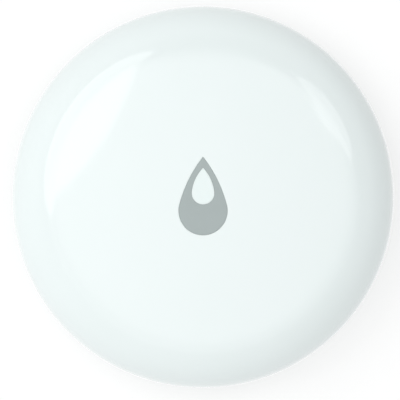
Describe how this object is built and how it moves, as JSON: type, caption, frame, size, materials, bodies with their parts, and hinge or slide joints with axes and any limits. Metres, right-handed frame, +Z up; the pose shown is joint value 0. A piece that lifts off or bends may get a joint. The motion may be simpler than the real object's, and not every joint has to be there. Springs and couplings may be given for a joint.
{
  "type": "water leak sensor",
  "caption": "Round domed water leak sensor: glossy cover with a drop-shaped push key, sealed base with turning battery door and steel probe screws.",
  "frame": {"origin": "on the floor, under the middle of the disc", "axes": "+Z up through the push key, +Y towards the point of the drop, +X to the right as seen from above"},
  "size_m": [0.05, 0.05, 0.015],
  "materials": {
    "cover_plastic": "high gloss, polished tool, very pale mint white",
    "base_plastic": "fine spark texture, pale mint white",
    "door_plastic": "fine spark texture, pale mint white",
    "key_plastic": "satin gloss, pale grey",
    "window_plastic": "milky light guide",
    "membrane_silicone": "soft, milky",
    "seal_rubber": "black, slightly glossy",
    "gasket_silicone": "grey, satin",
    "clamp_nylon": "natural nylon",
    "stainless_steel": "bright turned and polished",
    "zinc_steel": "zinc plated",
    "nickel_strip": "nickel plated spring strip",
    "cell_steel": "nickel plated, fine circular brush",
    "cell_gasket_plastic": "dark polypropylene",
    "cell_mass": "packed powder",
    "brass": "turned, satin",
    "board_laminate": "green solder mask",
    "gold_finish": "gold plated copper",
    "chip_epoxy": "moulded, matt black",
    "crystal_metal": "plated lid",
    "switch_plastic": "moulded, matt black",
    "led_resin": "clear resin over a pale chip",
    "resistor_ceramic": "black glaze",
    "capacitor_ceramic": "tan ceramic"
  },
  "bodies": {
    "housing": {"top_cover": "cover_plastic", "base_shell": "base_plastic", "housing_gasket": "gasket_silicone", "cell_can": "cell_steel", "cell_gasket": "cell_gasket_plastic", "cell_cap": "cell_steel", "cell_core": "cell_mass", "positive_contacts": "nickel_strip", "negative_contact": "nickel_strip", "circuit_board": "board_laminate", "board_screws": "zinc_steel", "probe_left": "stainless_steel", "probe_right": "stainless_steel", "probe_seals": "seal_rubber", "probe_nuts": "brass", "button_membrane": "membrane_silicone", "membrane_clamp": "clamp_nylon", "switch_body": "switch_plastic", "switch_plate": "nickel_strip", "switch_terminals": "nickel_strip", "switch_snap_dome": "nickel_strip", "indicator_led": "led_resin", "radio_chip": "chip_epoxy", "crystal_can": "crystal_metal", "memory_chip": "chip_epoxy", "chip_resistors": "resistor_ceramic", "chip_capacitors": "capacitor_ceramic", "antenna_trace": "gold_finish", "test_pads": "gold_finish"},
    "button": {"drop_button": "key_plastic", "indicator_window": "window_plastic"},
    "stem": {"switch_stem": "switch_plastic"},
    "door": {"battery_door": "door_plastic", "battery_door_seal": "seal_rubber"}
  },
  "joints": [
    {"name": "button_press", "type": "slide", "parent": "housing", "child": "button", "axis": [0, 0, -1], "range_m": [0, 0.0003], "stiffness_N_per_m": 5000, "deforming": ["button_membrane"]},
    {"name": "stem_press", "type": "slide", "parent": "housing", "child": "stem", "axis": [0, 0, -1], "range_m": [0, 0.0003], "deforming": ["switch_snap_dome"]},
    {"name": "door_turn", "type": "hinge", "parent": "housing", "child": "door", "pos_m": [0, 0, 0.002], "axis": [0, 0, -1], "range_deg": [0, 45]}
  ],
  "couplings": [
    {"joint": "stem_press", "follows": "button_press", "ratio": 1}
  ]
}
